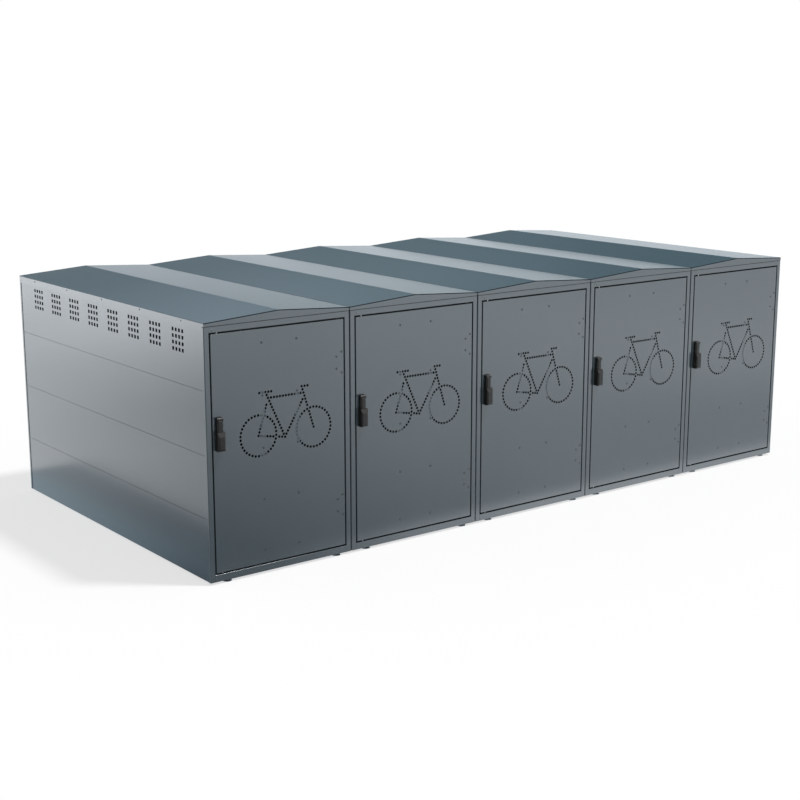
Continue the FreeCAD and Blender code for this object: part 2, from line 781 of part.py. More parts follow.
def make_roof_cap(bay):
    """A shallow gable of folded sheet, closed front and back, with a flange along each side."""
    name = f"roof_cap_{bay + 1}"
    drops = [cell("flange_drop") if bay == outer else cell("valley_drop")
             for outer in (0, LAST_BAY)]
    eave = cell("eave_height")
    inner = gable(PANEL)
    band = gable() + [
        (BAY_WIDTH, eave - drops[1]),
        (BAY_WIDTH - PANEL, eave - drops[1]),
        (BAY_WIDTH - PANEL, inner[2][1]),
        inner[1],
        (PANEL, inner[0][1]),
        (PANEL, eave - drops[0]),
        (0, eave - drops[0]),
    ]
    fascia_bottom = cell("frame_height") + cell("fascia_lap")
    fascia = gable() + [(BAY_WIDTH, fascia_bottom), (0, fascia_bottom)]
    body = body_with_pad(name, "XZ", band, 0, cell("depth"))
    pad(body, "XZ", fascia, 0, PANEL)
    pad(body, "XZ", fascia, cell("depth") - PANEL, cell("depth"))
    tools = []
    for outer, x, skin in (
        (0, 0, (-PANEL, PANEL)),
        (LAST_BAY, BAY_WIDTH, (BAY_WIDTH - PANEL, BAY_WIDTH + PANEL)),
    ):
        if bay != outer:
            continue
        rounded(body, cell("eave_radius"), lambda edge: runs_through(edge, x=x, z=eave))
        notch_z = (eave - cell("flange_drop") - PANEL, fascia_bottom)
        tools += [
            block(f"{name}_front_notch_{outer}", skin, (-PANEL, WALL_FRONT), notch_z),
            block(f"{name}_rear_notch_{outer}", skin, (WALL_REAR, cell("depth") + PANEL), notch_z),
        ]
        tools += rivet_holes(f"{name}_{outer}", skin)
    return cut(f"{name}_trimmed", body, tools) if tools else body


def make_roof_caps():
    node("roof_caps", group("roof_caps", [place(make_roof_cap(bay), bay) for bay in BAYS]))


def make_roof_rivets():
    """Domed rivets through the outer flanges into the end walls."""
    head, height = cell("rivet_head_radius"), cell("rivet_head_height")
    shank, grip = cell("rivet_shank_radius"), cell("rivet_grip")
    outline = [(0, -grip), (shank, -grip), (shank, 0), (head, 0),
               (head * 0.9, height * 0.5), (head * 0.55, height * 0.9), (0, height)]
    level = cell("eave_height") - cell("roof_rivet_drop")
    rivets = []
    for side, bay, x, turn in (("left", 0, 0, -90), ("right", LAST_BAY, BAY_WIDTH, 90)):
        for index, y in enumerate(rivet_places()):
            rivet = turned(f"{side}_roof_rivet_{index + 1}", outline)
            rivet.Placement = Placement(Vector(), Rotation(Vector(0, 1, 0), turn))
            rivets.append(place(rivet, bay, x, y, level))
    node("roof_rivets", group("roof_rivets", rivets))


def make_levelling_feet():
    """Discs on threaded studs, two under the front and two under the back of each bay."""
    floor = -cell("foot_height")
    outline = [
        (0, floor),
        (cell("foot_radius"), floor),
        (cell("foot_radius"), floor + cell("foot_rim")),
        (cell("foot_neck_radius"), floor + cell("foot_rim") * 2),
        (cell("foot_neck_radius"), -cell("seat_gap")),
        (cell("foot_stud_radius"), -cell("seat_gap")),
        (cell("foot_stud_radius"), cell("foot_stud_top")),
        (0, cell("foot_stud_top")),
    ]
    feet = []
    for bay in BAYS:
        for end, y in (("front", cell("foot_set_back")), ("rear", REAR_FOOT_Y)):
            for index, x in enumerate(FOOT_X):
                foot = turned(f"{end}_foot_{bay + 1}_{index + 1}", outline)
                feet.append(place(foot, bay, x, y))
    node("levelling_feet", group("levelling_feet", feet))


# Doors and their hinges

def make_frame_hinge_leaves():
    """Brackets on the hinge-side posts, whose arms reach round the door's edge to the axis."""
    arm_back = cell("arm_set_back") + cell("arm_sheet")
    inner, outer = HINGE_X - cell("arm_inner"), HINGE_X + cell("arm_outer")
    plate_x = RIGHT_POST - cell("bracket_sheet")
    arm = [
        (inner, HINGE_Y),
        (outer, HINGE_Y),
        (outer, cell("arm_set_back")),
        (plate_x, cell("arm_set_back")),
        (plate_x, arm_back),
        (inner, arm_back),
    ]
    plate = rectangle((plate_x, RIGHT_POST), (cell("bracket_set_back"), cell("frame_depth")))
    leaves = []
    for bay in BAYS:
        for index, height in enumerate(HINGE_HEIGHTS):
            name = f"frame_hinge_leaf_{bay + 1}_{index + 1}"
            body = body_with_pad(name, "XY", plate, *around(height, cell("bracket_height") / 2))
            pad(body, "XY", arm, *around(height, cell("knuckle_half")))
            knuckle = bar(f"{name}_knuckle", "z", (HINGE_X, HINGE_Y),
                          around(height, cell("knuckle_half")), cell("knuckle_radius"))
            bore = bar(f"{name}_bore", "z", (HINGE_X, HINGE_Y),
                       around(height, cell("knuckle_reach")), PIN_HOLE)
            leaf = cut(f"{name}_bored", joined(f"{name}_joined", [body, knuckle]), [bore])
            leaves.append(place(leaf, bay))
    node("frame_hinge_leaves", group("frame_hinge_leaves", leaves))


def make_hinge_pins():
    reach, radius = cell("knuckle_reach"), cell("hinge_pin_radius")
    outline = [
        (0, -reach),
        (radius, -reach),
        (radius, reach + cell("seat_gap")),
        (cell("knuckle_radius"), reach + cell("seat_gap")),
        (cell("knuckle_radius"), reach + cell("seat_gap") + cell("pin_head")),
        (0, reach + cell("seat_gap") + cell("pin_head")),
    ]
    pins = []
    for bay in BAYS:
        for index, height in enumerate(HINGE_HEIGHTS):
            pin = turned(f"hinge_pin_{bay + 1}_{index + 1}", outline)
            pins.append(place(pin, bay, HINGE_X, HINGE_Y, height))
    node("hinge_pins", group("hinge_pins", pins))


def dots_between(start, end, count):
    """Evenly spaced points from one place to another, both ends included."""
    return [
        (start[0] + (end[0] - start[0]) * step / (count - 1),
         start[1] + (end[1] - start[1]) * step / (count - 1))
        for step in range(count)
    ]


def pictogram_dots():
    """Holes of the bicycle pictogram, measured from the rear hub."""
    def value(alias):
        return cell(alias).number

    rear_hub = (0, 0)
    front_hub = (value("wheel_base"), 0)
    crank = (value("crank_ahead"), -value("crank_drop"))
    seat = (value("seat_ahead"), value("tube_height"))
    head = (value("head_ahead"), value("tube_height"))
    joint = (value("joint_ahead"), value("joint_height"))
    bar_end = (value("bar_ahead"), value("bar_height"))
    saddle = (value("saddle_ahead"), value("saddle_height"))
    post_top = ((seat[0] + saddle[0] + value("saddle_length") / 2) / 2, (seat[1] + saddle[1]) / 2)
    dots = []
    count = whole("wheel_dots")
    for hub in (rear_hub, front_hub):
        for step in range(count):
            angle = 2 * math.pi * (step + 0.5) / count
            dots.append((hub[0] + value("wheel_radius") * math.cos(angle),
                         hub[1] + value("wheel_radius") * math.sin(angle)))

    lines = [
        dots_between(bar_end, front_hub, 14),
        dots_between(seat, head, 13),
        dots_between(rear_hub, crank, 10),
        dots_between(crank, seat, 14)[:-1],
        dots_between(crank, joint, 14)[:-1],
        dots_between(rear_hub, seat, 12),
        dots_between(post_top, seat, 2),
        dots_between(saddle, (saddle[0] + value("saddle_length"), saddle[1]), 5),
        dots_between(bar_end, (bar_end[0] + value("bar_length"), bar_end[1]), 3),
    ]
    spacing = 2 * value("dot_radius") + value("dot_bridge")
    for line in lines:
        for dot in line:
            if all(math.dist(dot, other) > spacing for other in dots):
                dots.append(dot)
    return dots


def make_pictogram_tool():
    """The pictogram's holes as one tool, through the door's skin."""
    tool = doc.addObject("Part::Feature", "pictogram")
    left = (DOOR_LEFT + cell("rear_hub_inset")).number
    up = cell("rear_hub_height").number
    skin = SKIN.number
    tool.Shape = Part.makeCompound([
        Part.makeCylinder(cell("dot_radius").number, skin * 2,
                          Vector(left + across, -skin / 2, up + height), Vector(0, 1, 0))
        for across, height in pictogram_dots()
    ])
    return tool


def make_door_leaf(bay, pictogram):
    """A folded pan: skin, four returns and their lips, with its holes and hinge windows."""
    name = f"door_leaf_{bay + 1}"
    outline = rectangle((DOOR_LEFT, DOOR_RIGHT), (DOOR_BOTTOM, DOOR_TOP))
    body = body_with_pad(f"{name}_pan", "XZ", outline, 0, PAN_BACK)
    rounded(body, cell("edge_radius"), lambda edge: runs_through(edge, y=0))
    lip = cell("door_lip")
    hollow = block(f"{name}_hollow", (DOOR_LEFT + SKIN, DOOR_RIGHT - SKIN),
                   (SKIN, PAN_BACK - SKIN), (DOOR_BOTTOM + SKIN, DOOR_TOP - SKIN))
    opening = block(f"{name}_opening", (DOOR_LEFT + lip, DOOR_RIGHT - lip),
                    (PAN_BACK - SKIN * 2, PAN_BACK + SKIN), (DOOR_BOTTOM + lip, DOOR_TOP - lip))
    rod_hole = cell("rod_radius") + cell("rod_hole_play")
    tools = [
        hollow,
        opening,
        bar(f"{name}_upper_rod_hole", "z", (ROD_X, ROD_Y),
            (DOOR_TOP - SKIN * 2, DOOR_TOP + SKIN), rod_hole),
        bar(f"{name}_lower_rod_hole", "z", (ROD_X, ROD_Y),
            (DOOR_BOTTOM - SKIN, DOOR_BOTTOM + SKIN * 2), rod_hole),
        bar(f"{name}_barrel_hole", "y", (LOCK_X, LOCK_Z), (-SKIN, SKIN * 2),
            cell("barrel_radius") + cell("seat_gap")),
        pictogram,
    ]
    for index, height in enumerate(HINGE_HEIGHTS):
        tools.append(block(f"{name}_hinge_window_{index}", (DOOR_RIGHT - lip - SKIN, DOOR_RIGHT + SKIN),
                           (SKIN + cell("hinge_leaf_sheet"), PAN_BACK + SKIN),
                           around(height, cell("hinge_window") / 2)))
    return node(name, place(cut(f"{name}_folded", body, tools), bay))


def make_door_stiffeners(bay):
    """Two channels riveted upright behind the skin."""
    name = f"door_stiffeners_{bay + 1}"
    end_gap = SKIN + cell("stiffener_end_gap")
    channels = []
    for index, side in enumerate((-1, 1)):
        middle = DOOR_MIDDLE_X + cell("stiffener_offset") * side
        low, high = around(middle, cell("stiffener_width") / 2)
        back = PAN_BACK - SKIN - cell("seat_gap")
        outline = [
            (low, SKIN),
            (high, SKIN),
            (high, back),
            (high - SKIN, back),
            (high - SKIN, SKIN * 2),
            (low + SKIN, SKIN * 2),
            (low + SKIN, back),
            (low, back),
        ]
        channels.append(body_with_pad(f"{name}_channel_{index + 1}", "XY", outline,
                                      DOOR_BOTTOM + end_gap, DOOR_TOP - end_gap))
    node(name, place(group(f"{name}_pair", channels), bay))


def make_door_hinge_leaves(bay):
    """Plates behind the skin, each with two knuckles on the hinge's axis."""
    name = f"door_hinge_leaves_{bay + 1}"
    right = DOOR_RIGHT - SKIN - cell("seat_gap")
    plate_x = (right - cell("hinge_leaf_width"), right)
    plate_y = (SKIN, SKIN + cell("hinge_leaf_sheet"))
    web_x = around(HINGE_X, cell("knuckle_radius") - cell("hinge_leaf_sheet"))
    near = cell("knuckle_half") + cell("knuckle_play")
    leaves = []
    for index, height in enumerate(HINGE_HEIGHTS):
        leaf = f"{name}_{index + 1}"
        body = body_with_pad(leaf, "XY", rectangle(plate_x, plate_y),
                             *around(height, cell("hinge_leaf_height") / 2))
        knuckles = []
        for side, low, high in (
            ("lower", height - cell("knuckle_reach"), height - near),
            ("upper", height + near, height + cell("knuckle_reach")),
        ):
            pad(body, "XY", rectangle(web_x, (plate_y[1], HINGE_Y)), low, high)
            knuckles.append(bar(f"{leaf}_{side}_knuckle", "z", (HINGE_X, HINGE_Y),
                                (low, high), cell("knuckle_radius")))
        bore = bar(f"{leaf}_bore", "z", (HINGE_X, HINGE_Y),
                   around(height, cell("knuckle_reach") + SKIN), PIN_HOLE)
        leaves.append(cut(f"{leaf}_bored", joined(f"{leaf}_joined", [body] + knuckles), [bore]))
    node(name, place(group(f"{name}_pair", leaves), bay))


# Handle and lock

HOUSING_TOP = cell("handle_bottom") + cell("housing_height")
LEVER_BOTTOM = HOUSING_TOP + cell("seat_gap") * 2
LEVER_TOP = HOUSING_TOP + cell("lever_height")
LEVER_AXIS_Z = LEVER_TOP - cell("lever_axis_drop")
LEVER_AXIS_Y = -cell("lever_axis_reach")
LEVER_PIN_HOLE = cell("lever_pin_radius") + cell("running_gap")


def make_handle_base(bay):
    """The handle's fixed part: a lock housing below, and a plate with the lever's lug above."""
    name = f"handle_base_{bay + 1}"
    half_housing = cell("housing_width") / 2
    sides = around(LOCK_X, half_housing)
    front, bottom = -cell("handle_reach"), cell("handle_bottom")
    body = body_with_pad(f"{name}_housing", "XZ", rectangle(sides, (bottom, HOUSING_TOP)), front, 0)
    rounded(body, cell("housing_radius"), lambda edge: (
        any(runs_through(edge, y=front, x=side) for side in sides)
        or runs_through(edge, y=front, z=bottom)))
    plate = rectangle(around(LOCK_X, cell("lever_width") / 2), (HOUSING_TOP, LEVER_TOP))
    pad(body, "XZ", plate, -cell("handle_plate"), 0)
    slope = [
        (front - SKIN, HOUSING_TOP - cell("housing_shoulder")),
        (front, HOUSING_TOP - cell("housing_shoulder")),
        (-cell("lever_reach") - cell("housing_step"), HOUSING_TOP),
        (-cell("lever_reach") - cell("housing_step"), HOUSING_TOP + SKIN),
        (front - SKIN, HOUSING_TOP + SKIN),
    ]
    wedge = body_with_pad(f"{name}_slope", "YZ", slope, *around(LOCK_X, cell("housing_width")))
    lug_x = around(LOCK_X, cell("lug_width") / 2)
    web = block(f"{name}_web", lug_x, (LEVER_AXIS_Y, -cell("handle_plate")),
                (LEVER_AXIS_Z - cell("lug_radius"), LEVER_AXIS_Z + cell("lever_pin_radius")))
    lug = bar(f"{name}_lug", "x", (LEVER_AXIS_Y, LEVER_AXIS_Z), lug_x, cell("lug_radius"))
    bores = [
        wedge,
        bar(f"{name}_pin_bore", "x", (LEVER_AXIS_Y, LEVER_AXIS_Z),
            around(LOCK_X, cell("lever_width")), LEVER_PIN_HOLE),
        bar(f"{name}_barrel_bore", "y", (LOCK_X, LOCK_Z),
            (-cell("handle_reach") - SKIN, SKIN), cell("barrel_radius") + cell("running_gap")),
    ]
    casting = cut(f"{name}_bored", joined(f"{name}_joined", [body, web, lug]), bores)
    pin = bar(f"{name}_lever_pin", "x", (LEVER_AXIS_Y, LEVER_AXIS_Z),
              around(LOCK_X, cell("lever_width") / 2 - cell("slot_play")),
              cell("lever_pin_radius"))
    node(name, place(group(f"{name}_with_pin", [casting, pin]), bay))


def make_handle_lever(bay):
    """The grip: it hangs from the lug's pin, lies against the plate and folds out."""
    name = f"handle_lever_{bay + 1}"
    front, back = -cell("lever_reach"), -cell("lever_back")
    slope_foot = LEVER_TOP - cell("lever_shoulder")
    outline = [
        (front, LEVER_BOTTOM),
        (back, LEVER_BOTTOM),
        (back, LEVER_AXIS_Z),
        (LEVER_AXIS_Y, LEVER_TOP),
        (front, slope_foot),
    ]
    sides = around(LOCK_X, cell("lever_width") / 2)
    body = body_with_pad(f"{name}_grip", "YZ", outline, *sides)
    chamfered(body, cell("lever_chamfer"), lambda edge: any(
        runs_through(edge, y=front, x=side) for side in sides))
    head = bar(f"{name}_head", "x", (LEVER_AXIS_Y, LEVER_AXIS_Z), sides, cell("lever_axis_drop"))
    slot_x = around(LOCK_X, cell("lug_width") / 2 + cell("slot_play"))
    slot_radius = cell("lug_radius") + cell("slot_play")
    tools = [
        bar(f"{name}_slot", "x", (LEVER_AXIS_Y, LEVER_AXIS_Z), slot_x, slot_radius),
        block(f"{name}_slot_mouth", slot_x, (LEVER_AXIS_Y, 0),
              (LEVER_AXIS_Z - slot_radius, LEVER_TOP + cell("slot_play"))),
        bar(f"{name}_pin_bore", "x", (LEVER_AXIS_Y, LEVER_AXIS_Z),
            around(LOCK_X, cell("lever_width")), LEVER_PIN_HOLE),
    ]
    lever = cut(f"{name}_bored", joined(f"{name}_joined", [body, head]), tools)
    node(name, place(lever, bay))


def make_lock_barrel(bay):
    """The key's barrel, with its tail through the door to the cam."""
    name = f"lock_barrel_{bay + 1}"
    face = -cell("handle_reach") + cell("barrel_recess")
    inner_end = cell("barrel_inner_end")
    tail_end = cell("tongue_front") + cell("tongue_sheet")
    barrel = bar(f"{name}_barrel", "y", (LOCK_X, LOCK_Z), (face, inner_end), cell("barrel_radius"))
    tail = bar(f"{name}_tail", "y", (LOCK_X, LOCK_Z), (inner_end, tail_end), cell("tail_radius"))
    keyway = block(f"{name}_keyway", around(LOCK_X, cell("key_slot_width") / 2),
                   (face - SKIN, face + cell("key_slot_depth")),
                   around(LOCK_Z, cell("key_slot_height") / 2))
    node(name, place(cut(f"{name}_slotted", joined(f"{name}_joined", [barrel, tail]), [keyway]), bay))


def make_latch_cam(bay):
    """The cam on the barrel's tail: a disc with two drive pins, a hub and the tongue."""
    name = f"latch_cam_{bay + 1}"
    disc_front = cell("drive_disc_front")
    disc_back = disc_front + cell("drive_disc_sheet")
    tongue = (cell("tongue_front"), cell("tongue_front") + cell("tongue_sheet"))
    pin_front = ROD_Y - cell("rod_plate") / 2 - cell("seat_gap")
    offset = cell("drive_offset")
    half = cell("tongue_width") / 2
    tongue_outline = rectangle(around(LOCK_X, half), (LOCK_Z - half, LOCK_Z + cell("tongue_reach")))
    body = body_with_pad(f"{name}_tongue", "XZ", tongue_outline, *tongue)
    shapes = [
        body,
        bar(f"{name}_disc", "y", (LOCK_X, LOCK_Z), (disc_front, disc_back),
            cell("drive_disc_radius")),
        bar(f"{name}_hub", "y", (LOCK_X, LOCK_Z), (disc_back, tongue[0]), cell("cam_hub_radius")),
        bar(f"{name}_upper_drive_pin", "y", (LOCK_X + offset, LOCK_Z - offset),
            (pin_front, disc_front), cell("drive_pin_radius")),
        bar(f"{name}_lower_drive_pin", "y", (LOCK_X - offset, LOCK_Z + offset),
            (pin_front, disc_front), cell("drive_pin_radius")),
    ]
    bore = bar(f"{name}_bore", "y", (LOCK_X, LOCK_Z), (pin_front, tongue[1] + SKIN),
               cell("tail_radius") + cell("running_gap"))
    node(name, place(cut(f"{name}_bored", joined(f"{name}_joined", shapes), [bore]), bay))


def make_locking_rod(name, bay, side, tip_z):
    """A round rod with a slotted plate that a drive pin lifts or lowers.

    The side is 1 for the upper rod, which starts right of the lock and is driven up, and -1 for
    the lower one, which starts left of it and steps under the lock into the upper rod's line.
    """
    offset = cell("drive_offset")
    play = cell("drive_pin_radius") + cell("drive_play")
    wall = cell("rod_plate_wall")
    reach = offset * math.sqrt(2)

    def span(near, far):
        ends = (near, far) if side > 0 else (far, near)
        return LOCK_X + ends[0] * side, LOCK_X + ends[1] * side

    def rise(near, far):
        ends = (near, far) if side > 0 else (far, near)
        return LOCK_Z + ends[0] * side, LOCK_Z + ends[1] * side

    plate_y = around(ROD_Y, cell("rod_plate") / 2)
    plate = block(f"{name}_plate", span(offset - play - wall, reach + play + wall), plate_y,
                  rise(-offset - play - wall, -offset + play + wall))
    slot = block(f"{name}_slot", span(offset - play, reach + play),
                 (plate_y[0] - wall, plate_y[1] + wall), rise(-offset - play, -offset + play))
    start = -offset + play + wall / 2
    radius = cell("rod_radius")
    if side > 0:
        shapes = [bar(f"{name}_rod", "z", (ROD_X, ROD_Y), (LOCK_Z + start, tip_z), radius)]
    else:
        link_z = LOCK_Z - cell("link_drop")
        neck_x = LOCK_X - cell("rod_offset")
        shapes = [
            bar(f"{name}_neck", "z", (neck_x, ROD_Y), (link_z, LOCK_Z - start), radius),
            block(f"{name}_link", (neck_x - radius, ROD_X + radius), plate_y,
                  around(link_z, cell("link_height") / 2)),
            bar(f"{name}_rod", "z", (ROD_X, ROD_Y), (tip_z, link_z), radius),
        ]
    rod = cut(f"{name}_slotted", joined(f"{name}_joined", [plate] + shapes), [slot])
    node(name, place(rod, bay))


def make_locking_rods(bay):
    tip_gap = cell("rod_tip_gap")
    make_locking_rod(f"upper_rod_{bay + 1}", bay, 1, HEADER_BOTTOM - tip_gap)
    make_locking_rod(f"lower_rod_{bay + 1}", bay, -1, SILL_TOP + tip_gap)


make_front_posts()
make_front_headers()
make_front_sills()
make_door_seals()
make_end_walls()
make_partition_walls()
make_rear_panels()
make_rear_rails()
make_floor_trays()
make_wheel_guides()
make_roof_caps()
make_roof_rivets()
make_levelling_feet()
make_frame_hinge_leaves()
make_hinge_pins()
pictogram_tool = make_pictogram_tool()
for door in BAYS:
    make_door_leaf(door, pictogram_tool)
    make_door_stiffeners(door)
    make_door_hinge_leaves(door)
    make_handle_base(door)
    make_handle_lever(door)
    make_lock_barrel(door)
    make_latch_cam(door)
    make_locking_rods(door)
doc.recompute()

failed = [item.Name for item in doc.Objects if {"Invalid", "Error"} & set(item.State)]
if failed:
    raise RuntimeError(f"failed objects: {failed}")
for piece in NODES:
    if piece.Shape.isNull() or not piece.Shape.isValid() or not piece.Shape.Solids:
        raise RuntimeError(f"no valid shape: {piece.Label}")

os.makedirs("parts", exist_ok=True)
for piece in NODES:
    piece.Shape.exportStep(os.path.join("parts", f"{piece.Label}.step"))
    print(piece.Label, len(piece.Shape.Solids), round(piece.Shape.Volume))
print(len(NODES), "sub-parts")
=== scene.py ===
"""Looks of the bank of bicycle lockers: materials, small fasteners, floor and light."""

import json
import math

import bmesh
import bpy
from mathutils import Matrix, Vector


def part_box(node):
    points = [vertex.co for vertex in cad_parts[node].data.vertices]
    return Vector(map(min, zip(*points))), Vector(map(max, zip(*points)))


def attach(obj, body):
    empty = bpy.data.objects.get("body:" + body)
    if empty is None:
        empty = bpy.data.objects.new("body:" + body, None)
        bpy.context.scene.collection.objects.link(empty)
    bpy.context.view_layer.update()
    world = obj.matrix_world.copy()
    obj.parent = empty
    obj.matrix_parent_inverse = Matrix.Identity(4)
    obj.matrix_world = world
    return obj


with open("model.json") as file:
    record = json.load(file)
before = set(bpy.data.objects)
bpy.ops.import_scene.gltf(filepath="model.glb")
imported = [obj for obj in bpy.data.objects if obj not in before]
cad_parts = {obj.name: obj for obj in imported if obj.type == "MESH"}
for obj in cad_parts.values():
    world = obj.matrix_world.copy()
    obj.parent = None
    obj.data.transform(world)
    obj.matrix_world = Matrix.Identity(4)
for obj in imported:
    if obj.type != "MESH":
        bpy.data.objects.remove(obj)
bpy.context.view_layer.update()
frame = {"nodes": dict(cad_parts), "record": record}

NODES = frame["nodes"]
BAYS = range(1, 6)

# Sizes in metres. Positions in a bay count from the lower left corner of its front frame.

BAY_SEAM = 0.005
POSTS_LOW, POSTS_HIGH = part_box("front_posts")
BAY_PITCH = (POSTS_HIGH.x - POSTS_LOW.x + BAY_SEAM) / len(BAYS)
BANK_LEFT = POSTS_LOW.x - BAY_SEAM / 2
FRONT = POSTS_LOW.y
WALL_BOTTOM = POSTS_LOW.z

DOOR_LOW, DOOR_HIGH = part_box("door_leaf_1")
DOOR_MIDDLE_X = (DOOR_LOW.x + DOOR_HIGH.x) / 2 - POSTS_LOW.x
DOOR_MIDDLE_Z = (DOOR_LOW.z + DOOR_HIGH.z) / 2 - WALL_BOTTOM
STIFFENER_WIDTH = 0.025
STIFFENERS_LOW, STIFFENERS_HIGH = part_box("door_stiffeners_1")
STIFFENER_OFFSET = (STIFFENERS_HIGH.x - STIFFENERS_LOW.x - STIFFENER_WIDTH) / 2
DOOR_RIVET_PITCH = 0.255
HINGE_OFFSET = 0.363
# Each screw's place across the bay, and its height from the hinge's middle
HINGE_SCREWS = ((0.7375, 0.0305), (0.7375, -0.0305), (0.7675, 0.052), (0.7675, -0.052))
FRAME_RIVET = (0.0458, 1.2140)

RIDGE_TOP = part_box("roof_caps")[1].z
RIDGE_RISE = 0.026
# The painted dark reflection along the roof's fold: how far down it reaches, and where it fades
# behind the front
ROOF_FOLD = 0.0045
ROOF_FOLD_DEPTH = (0.002, 0.003)
SILL_TOP = 0.0345
# The painted highlight along the sill's fold: how far down it reaches, and where it fades behind
# the front
SILL_FOLD = 0.0014
SILL_FOLD_DEPTH = (0.0014, 0.0016)
# Where the sill's painted highlight fades, from the bank's left
SILL_FOLD_FADE = (0.40, 0.60)


def in_bay(bay, x, z, y=0.0):
    """A point of a bay's front face, in the whole bank's frame."""
    left = BANK_LEFT + (bay - 1) * BAY_PITCH + BAY_SEAM / 2
    return Vector((left + x, FRONT + y, WALL_BOTTOM + z))


# Materials

class Nodes:
    """A node tree being put together."""

    def __init__(self, tree):
        self.tree = tree

    def node(self, kind, inputs=None, **settings):
        """A new node whose inputs are values or the outputs of other nodes."""
        made = self.tree.nodes.new(kind)
        for name, value in settings.items():
            setattr(made, name, value)
        for socket, value in (inputs or {}).items():
            if isinstance(value, bpy.types.NodeSocket):
                self.tree.links.new(value, made.inputs[socket])
            else:
                made.inputs[socket].default_value = value
        return made

    def maths(self, operation, *values):
        return self.node("ShaderNodeMath", dict(enumerate(values)), operation=operation).outputs[0]

    def mixed(self, factor, first, second, blend="MIX"):
        """A colour; the node keeps its colour sockets at 6 and 7, and the colour made at 2."""
        return self.node("ShaderNodeMix", {0: factor, 6: first, 7: second},
                         data_type="RGBA", blend_type=blend).outputs[2]

    def either(self, factor, first, second):
        return self.node("ShaderNodeMixShader", {0: factor, 1: first, 2: second}).outputs[0]


class Shader(Nodes):
    """A node material being put together around one Principled BSDF."""

    def __init__(self, name, **constants):
        self.material = bpy.data.materials.new(name)
        self.material.use_nodes = True
        super().__init__(self.material.node_tree)
        self.bsdf = self.tree.nodes["Principled BSDF"]
        for socket, value in constants.items():
            self.bsdf.inputs[socket].default_value = value
        self.place = self.node("ShaderNodeTexCoord").outputs["Object"]

    def axes(self):
        return self.node("ShaderNodeSeparateXYZ", {"Vector": self.place}).outputs

    def link(self, output, socket):
        self.tree.links.new(output, self.bsdf.inputs[socket])

    def noise(self, scale, detail=2.0, roughness=0.5, stretch=(1, 1, 1)):
        mapped = self.node("ShaderNodeMapping", {"Vector": self.place, "Scale": stretch})
        return self.node("ShaderNodeTexNoise", {
            "Vector": mapped.outputs[0], "Scale": scale, "Detail": detail,
            "Roughness": roughness}).outputs["Fac"]

    def spread(self, factor, low, high, start=0.3, end=0.7):
        """A number between low and high by a factor between start and end."""
        return self.node("ShaderNodeMapRange", {
            "Value": factor, "From Min": start, "From Max": end,
            "To Min": low, "To Max": high}).outputs[0]

    def bump(self, height, strength, distance, **normal):
        """A bent normal; Normal=... bends one that is bent already."""
        return self.node("ShaderNodeBump", {
            "Height": height, "Strength": strength, "Distance": distance, **normal}).outputs[0]


def shade(colour, factor):
    """A colour lighter or darker, as the four numbers of a colour socket."""
    return tuple(channel * factor for channel in colour) + (1.0,)


def paint(name, colour, roughness=0.19, waviness=0.0, ior=1.9, uneven=0.012, fold=None,
          painted_fold_tone=None):
    """Smooth powder coat: soft clouds of tone and gloss, and a faint orange peel.

    fold is a function that marks a line of painted light along a fold, a painted highlight or a
    painted dark reflection, drawn in the colour given with it.
    """
    shader = Shader(name, IOR=ior)
    clouds = shader.noise(scale=1.7, detail=3.0)
    toned = shader.mixed(shader.spread(clouds, 0.0, 1.0), shade(colour, 0.96), shade(colour, 1.04))
    if fold:
        # Painted light along the fold: the mark's colour and metallic finish stand in for a
        # highlight or a dark reflection
        painted_fold_mark = fold(shader)
        toned = shader.mixed(painted_fold_mark, toned, painted_fold_tone)
        shader.link(painted_fold_mark, "Metallic")
    shader.link(toned, "Base Color")
    smears = shader.noise(scale=6.0, detail=4.0, roughness=0.6, stretch=(1, 1, 0.35))
    shader.link(shader.spread(smears, roughness - uneven, roughness + uneven), "Roughness")
    orange_peel = shader.noise(scale=420.0)
    normal = shader.bump(orange_peel, strength=0.02, distance=0.0001)
    if waviness:
        swells = shader.noise(scale=2.2, detail=1.0)
        normal = shader.bump(swells, strength=0.5, distance=waviness, Normal=normal)
    shader.link(normal, "Normal")
    return shader.material


def roof_fold_painted_reflection(shader):
    """A painted dark reflection: the dark line of the fold along the top of each fascia, on the
    outside of the sheet.
    """
    axes = shader.axes()
    half = BAY_PITCH / 2
    from_eave = shader.maths("PINGPONG", shader.maths("SUBTRACT", axes[0], BANK_LEFT), half)
    slope = shader.maths("MULTIPLY_ADD", from_eave, RIDGE_RISE / half, RIDGE_TOP - RIDGE_RISE)
    under = shader.maths("SUBTRACT", slope, axes[2])
    near_edge = shader.spread(under, 1.0, 0.0, ROOF_FOLD * 0.8, ROOF_FOLD * 1.3)
    in_front = shader.spread(axes[1], 1.0, 0.0, *(FRONT + depth for depth in ROOF_FOLD_DEPTH))
    return shader.maths("MULTIPLY", near_edge, in_front)


def sill_fold_painted_highlight(shader):
    """A painted highlight: the bright line of the fold along the top of the first sill, fading to
    the right.
    """
    axes = shader.axes()
    under = shader.maths("SUBTRACT", WALL_BOTTOM + SILL_TOP, axes[2])
    near_edge = shader.spread(under, 1.0, 0.0, SILL_FOLD * 0.9, SILL_FOLD * 1.1)
    in_front = shader.spread(axes[1], 1.0, 0.0, *(FRONT + depth for depth in SILL_FOLD_DEPTH))
    fading = shader.spread(axes[0], 1.0, 0.0, *(BANK_LEFT + place for place in SILL_FOLD_FADE))
    return shader.maths("MULTIPLY", fading, shader.maths("MULTIPLY", near_edge, in_front))


